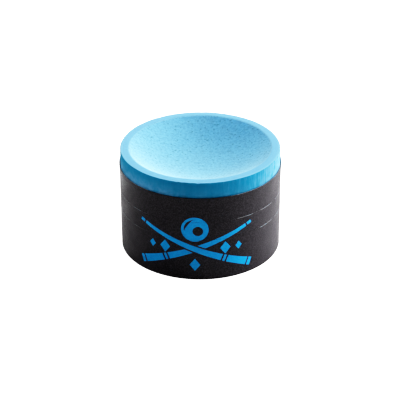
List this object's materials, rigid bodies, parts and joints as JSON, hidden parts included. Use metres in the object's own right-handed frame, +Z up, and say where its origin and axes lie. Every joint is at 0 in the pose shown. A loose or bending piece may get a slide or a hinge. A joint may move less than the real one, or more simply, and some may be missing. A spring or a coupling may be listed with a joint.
{
  "type": "cue chalk",
  "caption": "Round block of pressed cue chalk with a dished top, in a paper wrap with two rows of slits and strips that tear off as the chalk wears.",
  "frame": {"origin": "centre of the chalk's flat underside, where it stands", "axes": "+Z up along the round block's axis, out of the dish; -Y is the front of the printed wrap, and the wrap's overlapped seam is at +Y"},
  "size_m": [0.0304, 0.0305, 0.02],
  "materials": {
    "chalk": "matte",
    "wrap_paper": "satin"
  },
  "bodies": {
    "puck": {"chalk_puck": "chalk", "grip_band": "wrap_paper"},
    "lower_strip": {"lower_tear_strip": "wrap_paper"},
    "upper_strip": {"upper_tear_strip": "wrap_paper"}
  },
  "joints": [
    {"name": "lower_strip_peel", "type": "slide", "parent": "puck", "child": "lower_strip", "axis": [0, 0, 1], "range_m": [0, 0.014]},
    {"name": "upper_strip_peel", "type": "slide", "parent": "lower_strip", "child": "upper_strip", "axis": [0, 0, 1], "range_m": [0, 0.01]}
  ]
}
